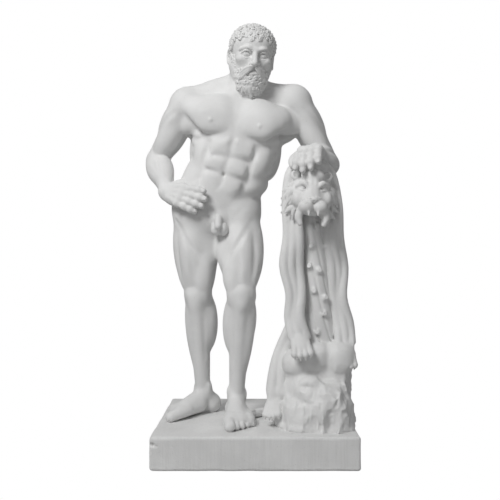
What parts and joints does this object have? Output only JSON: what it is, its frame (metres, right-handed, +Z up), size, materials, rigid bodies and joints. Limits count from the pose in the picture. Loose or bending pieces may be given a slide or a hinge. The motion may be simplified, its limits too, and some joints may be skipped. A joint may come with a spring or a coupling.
{
  "type": "hercules statue",
  "caption": "Cast statuette of a bearded nude hero beside a rock, one hand on his hip and one on a knotty club hung with a lion's pelt, on a plain oblong plinth.",
  "frame": {"origin": "middle of the plinth's underside", "axes": "+Z up, the plinth's front and the figure's chest face -Y, +X to the viewer's right"},
  "size_m": [0.1804, 0.137, 0.3611],
  "materials": {
    "cast_stone": "matt off-white cast stone"
  },
  "bodies": {
    "root": {"hercules_statue": "cast_stone"}
  },
  "joints": []
}
